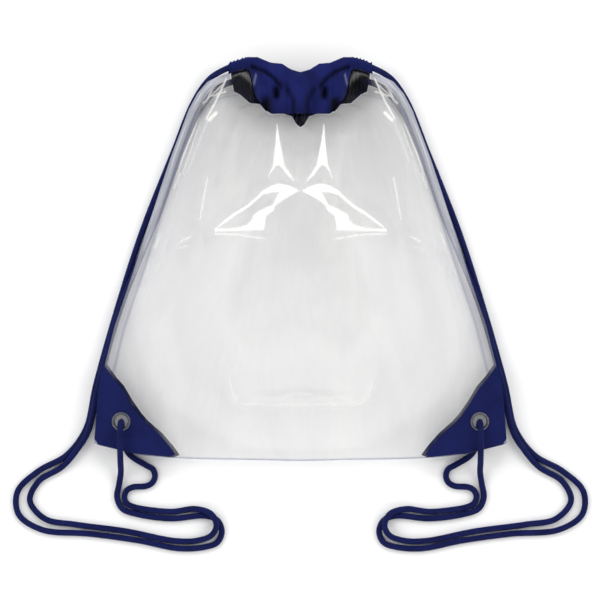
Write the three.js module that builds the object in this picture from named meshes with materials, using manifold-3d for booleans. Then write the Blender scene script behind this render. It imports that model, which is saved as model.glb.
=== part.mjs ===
import * as THREE from 'three';
import { mergeVertices } from 'three/addons/utils/BufferGeometryUtils.js';
import Module from 'manifold-3d';

// Clear drawstring bag, lying on its back with its mouth drawn shut.
// Millimetres, +Z up, +Y towards the mouth; the bag's footprint is centred on the origin.

const wasm = await Module();
wasm.setup();

// Driving sizes of the bag
const bottomWidth = 339.6; // between the two bottom corners
const neckWidth = 117.6; // across the gathered mouth
const panelHeight = 304.5; // from the bottom corners up to the ends of the mouth
const bottomBow = 14.9; // how far the bottom seam bows out below its corners
const earRise = 13.6; // how far the gathered channel stands above the ends of the mouth
const frontPuff = 46; // how far the front panel swells above the seam
const seamHeight = 16; // height of the side and bottom seams above the ground
const filmWall = 1.2;
const seamFlange = 8; // width along which the two films lie together
const patchMargin = 16; // how far past the corner patches the films still lie together
const frontSideReach = 105; // distance over which the front film swells up from a side seam
const frontBottomReach = 120; // from the bottom seam
const frontPatchReach = 90; // from a corner patch
const backSideReach = 60; // distance over which the back film comes down from a side seam
const backNeckReach = 28; // the same at the neck
const backBottomReach = 60;
const backPatchReach = 50;
const foldWidth = 15; // half width of the widest fold that stands up in the front film
const foldRise = 4.4; // height of the highest one
const clearance = 0.3; // gap kept between neighbouring pieces

// Driving sizes of the channel that the cords run in
const channelWall = 1.2;
const frontChannelDepth = 9.4;
const backChannelDepth = 9.2;
const frontTongue = 35.4; // how far the front channel hangs over the panel at its middle
const backTongue = 45.3;
const mouthLift = 8; // height of the front channel's free edge above the seam, at its ends
const pleatDepth = 2.6;

// Driving sizes of the corners
const patchLeg = 66;
const patchWall = 1.5;
const backPatchShare = 1.05; // the patch behind is cut a little larger
const eyeletHole = 11;
const eyeletRim = 15.4;
const eyeletWall = 0.7;
const flangeThickness = 0.8;
const eyeletInset = 22.3; // from the bottom corner, sideways
const eyeletRaise = 17.7; // from the bottom corner, upwards

// Driving sizes of the cords
const cordDiameter = 5;
const cordSides = 8;
const cordSteps = 88;

// How finely the films and channels are divided
const columns = 30;
const rows = 19;
const channelSides = 8;
const roundSides = 16;

const halfBottom = bottomWidth / 2;
const halfNeck = neckWidth / 2;
const cornerY = bottomBow - (bottomBow + panelHeight + earRise) / 2;
const neckY = cornerY + panelHeight;

// Side edge: share of the panel's height, and share of the way from the neck's half width to the bottom's
const sideEdge = [
  { up: 0, spread: 1 },
  { up: 0.143, spread: 0.969 },
  { up: 0.213, spread: 0.92 },
  { up: 0.316, spread: 0.849 },
  { up: 0.454, spread: 0.719 },
  { up: 0.586, spread: 0.601 },
  { up: 0.689, spread: 0.508 },
  { up: 0.77, spread: 0.434 },
  { up: 0.9, spread: 0.3 },
  { up: 0.945, spread: 0.235 },
  { up: 0.977, spread: 0.159 },
  { up: 0.989, spread: 0.093 },
  { up: 1, spread: 0 },
];

// Bottom edge: share of the half width, and share of the bow
const bottomEdge = [
  { across: 0, bow: 1 },
  { across: 0.242, bow: 0.94 },
  { across: 0.483, bow: 0.9 },
  { across: 0.637, bow: 0.82 },
  { across: 0.732, bow: 0.72 },
  { across: 0.805, bow: 0.62 },
  { across: 0.893, bow: 0.36 },
  { across: 0.983, bow: 0.11 },
  { across: 1, bow: 0 },
];

// Top rim of each film: share of the neck's half width, and drop as a share of that side's tongue
const frontRim = [
  { across: 0, drop: 1 },
  { across: 0.21, drop: 1 },
  { across: 0.34, drop: 0.95 },
  { across: 0.41, drop: 0.8 },
  { across: 0.475, drop: 0.3 },
  { across: 0.56, drop: -0.09 },
  { across: 0.735, drop: -0.12 },
  { across: 0.91, drop: -0.06 },
  { across: 1, drop: 0 },
];
const backRim = [
  { across: 0, drop: 1 },
  { across: 0.23, drop: 0.93 },
  { across: 0.495, drop: 0.72 },
  { across: 0.58, drop: 0.57 },
  { across: 0.715, drop: 0.56 },
  { across: 0.857, drop: 0.4 },
  { across: 0.945, drop: 0.34 },
  { across: 1, drop: 0 },
];

// Free edge of each channel: share of the neck's half width, rise as a share of the ears' rise,
// and height as a share of the lift at the mouth
const frontEars = [
  { across: 0, rise: -0.03, lift: 1.9 },
  { across: 0.07, rise: 0.06, lift: 1.85 },
  { across: 0.13, rise: 0.14, lift: 1.75 },
  { across: 0.26, rise: 0.5, lift: 1.6 },
  { across: 0.41, rise: 0.56, lift: 1.5 },
  { across: 0.5, rise: 0.72, lift: 1.4 },
  { across: 0.6, rise: 0.91, lift: 1.3 },
  { across: 0.735, rise: 0.91, lift: 1.2 },
  { across: 0.91, rise: 0.66, lift: 1.1 },
  { across: 1, rise: 0.52, lift: 1.1 },
];
const backEars = [
  { across: 0, rise: -0.4, lift: -0.9 },
  { across: 0.265, rise: 0.1, lift: -1 },
  { across: 0.56, rise: 0.5, lift: -1.05 },
  { across: 0.78, rise: 0.5, lift: -1 },
  { across: 1, rise: 0.06, lift: -0.9 },
];

// Standing folds of the front film, left half: ends as shares of half width and panel height from the
// bottom corners, with shares of the fold width and rise
const frontFolds = [
  { across: 0.142, up: 0.86, toAcross: 0.018, toUp: 0.78, width: 0.87, height: 0.73 },
  { across: 0.12, up: 0.82, toAcross: 0.1, toUp: 0.71, width: 0.8, height: 0.82 },
  { across: 0.01, up: 0.67, toAcross: 0.183, toUp: 0.67, width: 0.93, height: 0.95 },
  { across: 0.183, up: 0.67, toAcross: 0.41, toUp: 0.56, width: 1, height: 1 },
  { across: 0.44, up: 0.72, toAcross: 0.535, toUp: 0.5, width: 0.87, height: 0.59 },
  { across: 0, up: 0.11, toAcross: 0.317, toUp: 0.11, width: 0.93, height: 0.68 },
  { across: 0.317, up: 0.11, toAcross: 0.36, toUp: 0.2, width: 0.8, height: 0.5 },
];

// Corner patch, from the bottom corner: shares of the patch's leg, inwards and upwards
const patchOutline = [
  { inwards: 0.004, up: 0.05 },
  { inwards: 0.023, up: 0.31 },
  { inwards: 0.052, up: 0.67 },
  { inwards: 0.117, up: 0.98 },
  { inwards: 0.26, up: 0.78 },
  { inwards: 0.35, up: 0.68 },
  { inwards: 0.45, up: 0.51 },
  { inwards: 0.56, up: 0.35 },
  { inwards: 0.64, up: 0.26 },
  { inwards: 0.81, up: 0.11 },
  { inwards: 0.94, up: -0.04 },
  { inwards: 1.015, up: -0.145 },
  { inwards: 0.94, up: -0.175 },
  { inwards: 0.5, up: -0.13 },
  { inwards: 0.275, up: -0.075 },
  { inwards: 0.05, up: -0.02 },
];

// Route of one cord, left side: out of the front channel, down the side, round the loop, up through the
// eyelet from the front, back round the loop underneath and up into the back channel
const cordRoute = [
  [-52.7, 159.3, 20.9],
  [-58.9, 157.0, 20.8],
  [-74.2, 149.0, 11.0],
  [-87.7, 131.0, 3.0],
  [-104.6, 89.5, 2.5],
  [-131.2, 22.0, 2.5],
  [-152.2, -43.5, 2.5],
  [-169.2, -104.0, 2.5],
  [-177.7, -141.0, 2.5],
  [-193.7, -162.5, 2.5],
  [-216.7, -175.5, 2.5],
  [-234.2, -192.5, 2.5],
  [-233.2, -211.5, 2.5],
  [-214.2, -224.0, 2.5],
  [-174.2, -227.5, 2.5],
  [-134.2, -233.0, 2.5],
  [-100.2, -239.6, 2.5],
  [-78.7, -238.3, 2.5],
  [-68.8, -234.6, 2.5],
  [-65.1, -225.4, 2.5],
  [-69.0, -216.2, 2.5],
  [-78.7, -212.6, 2.5],
  [-107.2, -214.8, 2.5],
  [-135.2, -211.2, 2.5],
  [-147.4, -206.7, 2.5],
  [-151.8, -197.2, 2.5],
  [-150.2, -187.0, 2.7],
  [-148.5, -177.0, 6.8],
  [-148.2, -167.5, 16.6],
  [-148.0, -157.5, 24.0],
  [-147.9, -147.0, 27.0],
  [-147.8, -138.0, 23.4],
  [-147.7, -134.3, 14.8],
  [-147.6, -138.0, 6.1],
  [-147.0, -147.0, 2.5],
  [-142.2, -161.0, 2.5],
  [-127.5, -170.9, 2.5],
  [-122.4, -173.9, 2.5],
  [-120.4, -179.4, 2.5],
  [-122.4, -184.9, 2.5],
  [-127.5, -187.9, 2.5],
  [-138.9, -188.9, 2.5],
  [-143.8, -191.7, 2.5],
  [-145.7, -197.0, 2.5],
  [-143.8, -202.3, 2.5],
  [-138.5, -205.1, 2.5],
  [-107.2, -209.2, 2.5],
  [-87.2, -206.9, 2.8],
  [-73.8, -210.8, 7.4],
  [-69.4, -220.0, 8.0],
  [-73.6, -228.6, 5.6],
  [-86.2, -233.2, 2.7],
  [-104.2, -233.3, 2.5],
  [-144.2, -225.4, 2.5],
  [-186.2, -219.8, 2.5],
  [-211.7, -215.0, 2.5],
  [-224.0, -200.0, 2.5],
  [-216.7, -184.0, 2.5],
  [-197.6, -172.2, 3.2],
  [-184.8, -157.8, 7.2],
  [-175.4, -142.4, 7.5],
  [-166.8, -104.6, 7.5],
  [-149.9, -44.2, 7.5],
  [-133.6, -1.5, 5.4],
  [-117.0, 39.0, 2.5],
  [-98.8, 89.5, 2.5],
  [-82.0, 125.5, 2.5],
  [-68.7, 140.5, 8.2],
  [-56.0, 146.0, 11.9],
  [-51.6, 146.2, 12.1],
];

const film = { color: 0xdfe2e8, roughness: 0.12, metalness: 0 };
const navyCloth = { color: 0x1b2256, roughness: 0.85, metalness: 0 };
const navyPatch = { color: 0x1c2458, roughness: 0.75, metalness: 0 };
const navyCord = { color: 0x182052, roughness: 0.9, metalness: 0 };
const darkNickel = { color: 0x62666b, roughness: 0.35, metalness: 1 };

// Reads a table: the value of one column at a place in another, on straight lines between rows
function lookUp(table, key, at, value) {
  const next = table.findIndex((row) => row[key] >= at);
  if (next <= 0) {
    return table[next < 0 ? table.length - 1 : 0][value];
  }
  const before = table[next - 1];
  const after = table[next];
  const share = (at - before[key]) / (after[key] - before[key]);
  return before[value] + share * (after[value] - before[value]);
}

function halfWidthAt(up) {
  return halfNeck + (halfBottom - halfNeck) * lookUp(sideEdge, 'up', up, 'spread');
}

// Rises from 0 at an edge to 1 at the end of its reach
function swell(distance, reach) {
  return Math.sin((Math.PI / 2) * THREE.MathUtils.clamp(distance / reach, 0, 1));
}

// Distance from the line past the corner patch, where the two films begin to part
const patchLine = new THREE.Line3(
  new THREE.Vector3(halfBottom - patchLeg * 0.117, cornerY + patchLeg * 0.98, 0),
  new THREE.Vector3(halfBottom - patchLeg * 1.015, cornerY - patchLeg * 0.145, 0),
);
const patchDirection = patchLine.delta(new THREE.Vector3()).normalize();
function pastPatch(x, y) {
  const offsetX = Math.abs(x) - patchLine.start.x;
  const offsetY = y - patchLine.start.y;
  return offsetX * patchDirection.y - offsetY * patchDirection.x - patchMargin;
}

// How far the films have parted at a place, from 0 at the seams to 1
function parting(x, y, across, up, sideReach, bottomReach, patchReach) {
  const fromSide = halfWidthAt(up) * (1 - Math.abs(across)) - seamFlange;
  const fromBottom = panelHeight * up - seamFlange;
  return swell(fromSide, sideReach) * swell(fromBottom, bottomReach)
    * swell(pastPatch(x, y), patchReach);
}

function foldHeight(x, y) {
  const place = new THREE.Vector3(-Math.abs(x), y, 0);
  let height = 0;
  for (const fold of frontFolds) {
    const line = new THREE.Line3(
      new THREE.Vector3(-fold.across * halfBottom, cornerY + fold.up * panelHeight, 0),
      new THREE.Vector3(-fold.toAcross * halfBottom, cornerY + fold.toUp * panelHeight, 0),
    );
    const nearest = line.closestPointToPoint(place, true, new THREE.Vector3());
    const share = nearest.distanceTo(place) / (foldWidth * fold.width);
    if (share < 1) {
      height = Math.max(height, foldRise * fold.height * (1 - share * share) ** 2);
    }
  }
  return height;
}

// Place in plan of a film's grid point: across from -1 to 1, up from 0 to 1
function filmPlan(rim, tongue, across, up) {
  const bow = bottomBow * lookUp(bottomEdge, 'across', Math.abs(across), 'bow');
  const drop = tongue * lookUp(rim, 'across', Math.abs(across), 'drop');
  const x = across * halfWidthAt(up);
  const y = cornerY + panelHeight * up - bow * (1 - up) ** 2 - drop * up ** 6;
  return new THREE.Vector3(x, y, 0);
}

// Inner faces of the two films
function frontInner(across, up) {
  const point = filmPlan(frontRim, frontTongue, across, up);
  const neckShare = 1 - 0.36 * swell(up - 0.62, 0.38);
  const part = parting(point.x, point.y, across, up, frontSideReach, frontBottomReach, frontPatchReach);
  point.z = seamHeight + clearance / 2 + frontPuff * neckShare * part
    + foldHeight(point.x, point.y) * Math.min(1, part * 2);
  return point;
}

function backInner(across, up) {
  const point = filmPlan(backRim, backTongue, across, up);
  const neckShare = 1 - 0.42 * swell(up - 0.84, 0.16);
  const depth = seamHeight - filmWall - clearance / 2;
  const sideReach = backSideReach + (backNeckReach - backSideReach) * up ** 4;
  const part = parting(point.x, point.y, across, up, sideReach, backBottomReach, backPatchReach);
  point.z = seamHeight - clearance / 2 - depth * neckShare * part;
  return point;
}

// Upward normal of a film; where its edges run into each other it is taken as vertical
function gridNormal(surface, across, up) {
  const step = 0.01;
  const right = surface(Math.min(1, across + step), up).sub(surface(Math.max(-1, across - step), up));
  const above = surface(across, Math.min(1, up + step)).sub(surface(across, Math.max(0, up - step)));
  const normal = right.cross(above).normalize();
  return normal.z > 0.5 ? normal : new THREE.Vector3(0, 0, 1);
}

function solidFrom(points, faces) {
  const geometry = new THREE.BufferGeometry();
  geometry.setAttribute('position', new THREE.Float32BufferAttribute(points.flat(), 3));
  geometry.setIndex(faces.flat());
  return geometry;
}

// A film: its inner face and that face moved out by the wall, closed round the edge
function filmSolid(surface, side) {
  const points = [];
  for (const offset of [0, side * filmWall]) {
    for (let row = 0; row <= rows; row += 1) {
      for (let column = 0; column <= columns; column += 1) {
        const across = (2 * column) / columns - 1;
        const up = row / rows;
        const normal = gridNormal(surface, across, up);
        points.push(surface(across, up).addScaledVector(normal, offset).toArray());
      }
    }
  }
  const layer = (rows + 1) * (columns + 1);
  const faces = [];
  const quad = (a, b, c, d) => (side > 0 ? faces.push([a, b, c], [a, c, d]) : faces.push([a, c, b], [a, d, c]));
  const at = (row, column, level) => row * (columns + 1) + column + level * layer;
  for (let row = 0; row < rows; row += 1) {
    for (let column = 0; column < columns; column += 1) {
      quad(at(row, column, 1), at(row, column + 1, 1), at(row + 1, column + 1, 1), at(row + 1, column, 1));
      quad(at(row, column, 0), at(row + 1, column, 0), at(row + 1, column + 1, 0), at(row, column + 1, 0));
    }
  }
  for (let column = 0; column < columns; column += 1) {
    quad(at(0, column, 0), at(0, column + 1, 0), at(0, column + 1, 1), at(0, column, 1));
    quad(at(rows, column + 1, 0), at(rows, column, 0), at(rows, column, 1), at(rows, column + 1, 1));
  }
  for (let row = 0; row < rows; row += 1) {
    quad(at(row + 1, 0, 0), at(row, 0, 0), at(row, 0, 1), at(row + 1, 0, 1));
    quad(at(row, columns, 0), at(row + 1, columns, 0), at(row + 1, columns, 1), at(row, columns, 1));
  }
  return solidFrom(points, faces);
}

// One cross section of a channel: from its sewn edge at the film's rim to its free edge
function channelStation(surface, ears, column, side) {
  const across = (2 * column) / columns - 1;
  const share = Math.abs(across);
  const low = surface(across, 1);
  const next = surface(Math.min(1, across + 0.01), 1);
  const last = surface(Math.max(-1, across - 0.01), 1);
  const along = next.sub(last).setZ(0).normalize();
  const outwards = new THREE.Vector3(-along.y, along.x, 0);
  low.addScaledVector(gridNormal(surface, across, 1), (side * filmWall) / 2);
  low.addScaledVector(outwards, clearance + filmWall / 2);
  const pleat = pleatDepth * Math.cos((Math.PI * column) / 2) * (1 - share ** 4);
  const high = new THREE.Vector3(
    across * halfNeck,
    neckY + earRise * lookUp(ears, 'across', share, 'rise'),
    seamHeight + mouthLift * lookUp(ears, 'across', share, 'lift') + pleat * side,
  );
  return { low, high };
}

// A hollow channel: a flattened tube with open ends, one cross section at each column; it stops some
// columns short of the film's sides
function channelSolid(surface, ears, depth, side, short) {
  const points = [];
  for (let column = short; column <= columns - short; column += 1) {
    const { low, high } = channelStation(surface, ears, column, side);
    const middle = low.clone().add(high).multiplyScalar(0.5);
    const reach = high.clone().sub(low).multiplyScalar(0.5);
    const spread = reach.clone().normalize();
    const normal = new THREE.Vector3(0, 0, 1).addScaledVector(spread, -spread.z).normalize();
    for (const inset of [0, channelWall]) {
      for (let corner = 0; corner < channelSides; corner += 1) {
        const angle = (2 * Math.PI * corner) / channelSides;
        const point = middle.clone();
        point.addScaledVector(spread, (reach.length() - inset) * Math.cos(angle));
        point.addScaledVector(normal, (depth / 2 - inset) * Math.sin(angle));
        points.push(point.toArray());
      }
    }
  }
  const faces = [];
  const last = columns - 2 * short;
  const at = (column, level, corner) => (column * 2 + level) * channelSides + (corner % channelSides);
  const quad = (a, b, c, d) => faces.push([a, b, c], [a, c, d]);
  for (let corner = 0; corner < channelSides; corner += 1) {
    for (let column = 0; column < last; column += 1) {
      quad(at(column, 0, corner), at(column, 0, corner + 1), at(column + 1, 0, corner + 1), at(column + 1, 0, corner));
      quad(at(column, 1, corner), at(column + 1, 1, corner), at(column + 1, 1, corner + 1), at(column, 1, corner + 1));
    }
    quad(at(0, 0, corner), at(0, 1, corner), at(0, 1, corner + 1), at(0, 0, corner + 1));
    quad(at(last, 0, corner), at(last, 0, corner + 1), at(last, 1, corner + 1), at(last, 1, corner));
  }
  return solidFrom(points, faces);
}

function manifoldOf(geometry) {
  const bare = geometry.clone();
  bare.deleteAttribute('normal');
  bare.deleteAttribute('uv');
  const merged = mergeVertices(bare);
  return new wasm.Manifold(new wasm.Mesh({
    numProp: 3,
    vertProperties: new Float32Array(merged.attributes.position.array),
    triVerts: new Uint32Array(merged.index.array),
  }));
}

function geometryOf(solid) {
  const mesh = solid.getMesh();
  const geometry = new THREE.BufferGeometry();
  geometry.setAttribute('position', new THREE.BufferAttribute(mesh.vertProperties, 3));
  geometry.setIndex(new THREE.BufferAttribute(mesh.triVerts, 1));
  geometry.computeVertexNormals();
  return geometry;
}

const barrelRadius = eyeletHole / 2 + eyeletWall;
const layerHole = barrelRadius + clearance;
const eyeletX = halfBottom - eyeletInset;
const eyeletY = cornerY + eyeletRaise;
const patchBase = clearance / 2 + filmWall + clearance; // from the seam's middle to a patch
const gripHalf = patchBase + patchWall + clearance; // from the seam's middle to an eyelet's flange

// Cuts the two eyelet holes through a film
function pierced(geometry) {
  const holes = [-eyeletX, eyeletX].map((x) => {
    const drill = new THREE.CylinderGeometry(layerHole, layerHole, seamHeight * 2, roundSides);
    drill.rotateX(Math.PI / 2).translate(x, eyeletY, seamHeight);
    return manifoldOf(drill);
  });
  return geometryOf(manifoldOf(geometry).subtract(holes[0]).subtract(holes[1]));
}

function circlePoints(radius, sides) {
  return Array.from({ length: sides }, (_, side) => {
    const angle = (2 * Math.PI * side) / sides;
    return new THREE.Vector2(radius * Math.cos(angle), radius * Math.sin(angle));
  });
}

function patchSolid(mirror, front) {
  const leg = patchLeg * (front ? 1 : backPatchShare);
  const outline = new THREE.Shape(patchOutline.map(({ inwards, up }) => new THREE.Vector2(
    mirror * (halfBottom - leg * inwards),
    cornerY + leg * up,
  )));
  const middle = new THREE.Vector2(mirror * eyeletX, eyeletY);
  outline.holes.push(new THREE.Path(circlePoints(layerHole, roundSides).map((point) => point.add(middle))));
  const geometry = new THREE.ExtrudeGeometry(outline, { depth: patchWall, bevelEnabled: false });
  const level = front ? seamHeight + patchBase : seamHeight - patchBase - patchWall;
  return geometry.translate(0, 0, level);
}

// Eyelet: barrel with a rolled flange on each side of the corner
function eyeletSolid(mirror) {
  const inner = eyeletHole / 2;
  const outer = eyeletRim / 2;
  const top = gripHalf + flangeThickness;
  const section = [
    [inner, -top + 0.2],
    [inner + 0.4, -top],
    [outer - 0.5, -top],
    [outer, -gripHalf - 0.3],
    [outer, -gripHalf],
    [barrelRadius, -gripHalf],
    [barrelRadius, gripHalf],
    [outer, gripHalf],
    [outer, gripHalf + 0.3],
    [outer - 0.5, top],
    [inner + 0.4, top],
    [inner, top - 0.2],
    [inner, -top + 0.2],
  ].map(([radius, level]) => new THREE.Vector2(radius, level));
  const geometry = new THREE.LatheGeometry(section, roundSides);
  return geometry.rotateX(Math.PI / 2).translate(mirror * eyeletX, eyeletY, seamHeight);
}

// A route whose steps follow its own points, so that its tight bends get more of them, and that never
// dips into the ground
class CordPath extends THREE.CatmullRomCurve3 {
  getUtoTmapping(share) {
    return share;
  }

  getPoint(share, target) {
    const point = super.getPoint(share, target);
    point.z = Math.max(point.z, cordDiameter / 2);
    return point;
  }
}

function cordSolid(mirror) {
  const path = new CordPath(cordRoute.map(([x, y, z]) => new THREE.Vector3(-mirror * x, y, z)), false, 'centripetal');
  const section = new THREE.Shape(circlePoints(cordDiameter / 2, cordSides));
  return new THREE.ExtrudeGeometry(section, { steps: cordSteps, extrudePath: path });
}

const bag = new THREE.Group();

function addPiece(name, geometry, finish) {
  const mesh = new THREE.Mesh(geometry, new THREE.MeshStandardMaterial(finish));
  mesh.name = name;
  bag.add(mesh);
}

addPiece('front_panel', pierced(filmSolid(frontInner, 1)), film);
addPiece('back_panel', pierced(filmSolid(backInner, -1)), film);
addPiece('front_channel', channelSolid(frontInner, frontEars, frontChannelDepth, 1, 0), navyCloth);
addPiece('back_channel', channelSolid(backInner, backEars, backChannelDepth, -1, 1), navyCloth);
for (const [side, mirror] of [['left', -1], ['right', 1]]) {
  addPiece(`corner_patch_front_${side}`, patchSolid(mirror, true), navyPatch);
  addPiece(`corner_patch_back_${side}`, patchSolid(mirror, false), navyPatch);
  addPiece(`eyelet_${side}`, eyeletSolid(mirror), darkNickel);
  addPiece(`cord_${side}`, cordSolid(mirror), navyCord);
}

export default bag;
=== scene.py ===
# Clear drawstring bag, lying on its back with its mouth drawn shut and its cords laid out.
# Shapes are worked out in millimetres and turned to metres when a mesh is made.
import bpy
import numpy as np
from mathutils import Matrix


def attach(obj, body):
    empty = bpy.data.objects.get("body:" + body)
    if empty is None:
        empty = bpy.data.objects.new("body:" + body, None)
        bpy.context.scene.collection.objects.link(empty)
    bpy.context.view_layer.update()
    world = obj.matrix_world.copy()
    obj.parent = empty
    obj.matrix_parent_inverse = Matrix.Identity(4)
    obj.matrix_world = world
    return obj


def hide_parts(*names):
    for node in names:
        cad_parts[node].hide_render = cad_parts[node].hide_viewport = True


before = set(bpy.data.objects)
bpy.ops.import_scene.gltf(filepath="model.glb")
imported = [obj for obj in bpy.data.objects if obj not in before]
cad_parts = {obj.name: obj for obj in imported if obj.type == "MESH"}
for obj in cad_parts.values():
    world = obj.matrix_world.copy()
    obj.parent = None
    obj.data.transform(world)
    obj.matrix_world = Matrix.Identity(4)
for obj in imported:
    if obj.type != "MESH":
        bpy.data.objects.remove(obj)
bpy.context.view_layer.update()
print("frame loaded")

# camera straight above the bag, as the picture was taken
cameraValues = {
    "middle": (-0.0004, -0.03395),
    "height": 2.5,
    "frameWidth": 0.494,  # metres across the picture
    "frameLevel": 0.016,  # at the height of the seams
}


def addCamera(values):
    cameraData = bpy.data.cameras.new("cameraAbove")
    cameraData.sensor_width = 36
    cameraData.lens = 36 * (values["height"] - values["frameLevel"]) / values["frameWidth"]
    cameraObject = bpy.data.objects.new("cameraAbove", cameraData)
    cameraObject.location = (*values["middle"], values["height"])
    bpy.context.scene.collection.objects.link(cameraObject)
    bpy.context.scene.camera = cameraObject


addCamera(cameraValues)


def hexToLinear(code):
    shares = [int(code[i:i + 2], 16) / 255 for i in (1, 3, 5)]
    return [s / 12.92 if s <= 0.04045 else ((s + 0.055) / 1.055) ** 2.4 for s in shares] + [1]


def addNode(tree, kind, settings=(), links=()):
    node = tree.nodes.new(kind)
    for key, value in dict(settings).items():
        if isinstance(key, int) or key in node.inputs:
            node.inputs[key].default_value = value
        else:
            setattr(node, key, value)
    for key, source in dict(links).items():
        tree.links.new(source, node.inputs[key])
    return node


def newMaterial(name):
    material = bpy.data.materials.new(name)
    material.use_nodes = True
    material.node_tree.nodes.clear()
    return material, material.node_tree


def gridPiece(name, points, uv, wrap=False, looped=False, capped=False, keep=None):
    # points are rows x columns x 3 in mm; wrap closes the last column onto the first, looped the last row
    rowCount, columnCount = points.shape[:2]
    index = np.arange(rowCount * columnCount).reshape(rowCount, columnCount)
    if wrap:
        index = np.hstack([index, index[:, :1]])
    if looped:
        index = np.vstack([index, index[:1]])
    uvIndex = np.arange(uv.shape[0] * uv.shape[1]).reshape(uv.shape[:2])
    corners = (np.s_[:-1, :-1], np.s_[:-1, 1:], np.s_[1:, 1:], np.s_[1:, :-1])
    quads = np.stack([index[corner].reshape(-1) for corner in corners], axis=1)
    uvQuads = np.stack([uvIndex[corner].reshape(-1) for corner in corners], axis=1)
    places = points.reshape(-1, 3) / 1000
    if keep is not None:
        kept = keep(places[quads].mean(axis=1) * 1000)
        quads, uvQuads = quads[kept], uvQuads[kept]
    faces = quads.tolist()
    uvList = uv.reshape(-1, 2)[uvQuads.reshape(-1)]
    if capped:
        ends = [index[0, :columnCount][::-1].tolist(), index[-1, :columnCount].tolist()]
        faces += ends
        uvList = np.vstack([uvList, np.zeros((2 * columnCount, 2))])
    mesh = bpy.data.meshes.new(name)
    mesh.from_pydata(places.tolist(), [], faces)
    mesh.polygons.foreach_set("use_smooth", [True] * len(mesh.polygons))
    mesh.uv_layers.new(name="cloth").data.foreach_set("uv", uvList.reshape(-1))
    piece = bpy.data.objects.new(name, mesh)
    bpy.context.scene.collection.objects.link(piece)
    return piece


def paint(piece, name, values):
    # one number for each point of the mesh, which the piece's material reads
    layer = piece.data.attributes.new(name, "FLOAT", "POINT")
    layer.data.foreach_set("value", np.asarray(values, dtype=float).reshape(-1))


def dress(piece, material):
    piece.data.materials.append(material)
    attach(piece, "root")


def clampShare(values):
    return np.clip(values, 0, 1)


def smoothStep(values):
    share = clampShare(values)
    return share * share * (3 - 2 * share)


def awayFrom(x, y, points):
    # distance in mm from a run of straight lines
    nearest = np.full(np.shape(x), 1e9)
    for (x0, y0), (x1, y1) in zip(points[:-1], points[1:]):
        alongX, alongY = x1 - x0, y1 - y0
        share = clampShare(((x - x0) * alongX + (y - y0) * alongY) / (alongX**2 + alongY**2))
        nearest = np.minimum(nearest, np.hypot(x - x0 - share * alongX, y - y0 - share * alongY))
    return nearest


def insideOf(x, y, outline, softness):
    # 1 inside a closed outline and 0 outside, blending over the softness in mm
    inside = np.zeros(np.shape(x), dtype=bool)
    closed = list(outline) + [outline[0]]
    for (x0, y0), (x1, y1) in zip(closed[:-1], closed[1:]):
        if y0 != y1:
            inside ^= ((y0 > y) != (y1 > y)) & (x < (x1 - x0) * (y - y0) / (y1 - y0) + x0)
    away = awayFrom(x, y, closed)
    return clampShare(0.5 + np.where(inside, away, -away) / softness)


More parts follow.
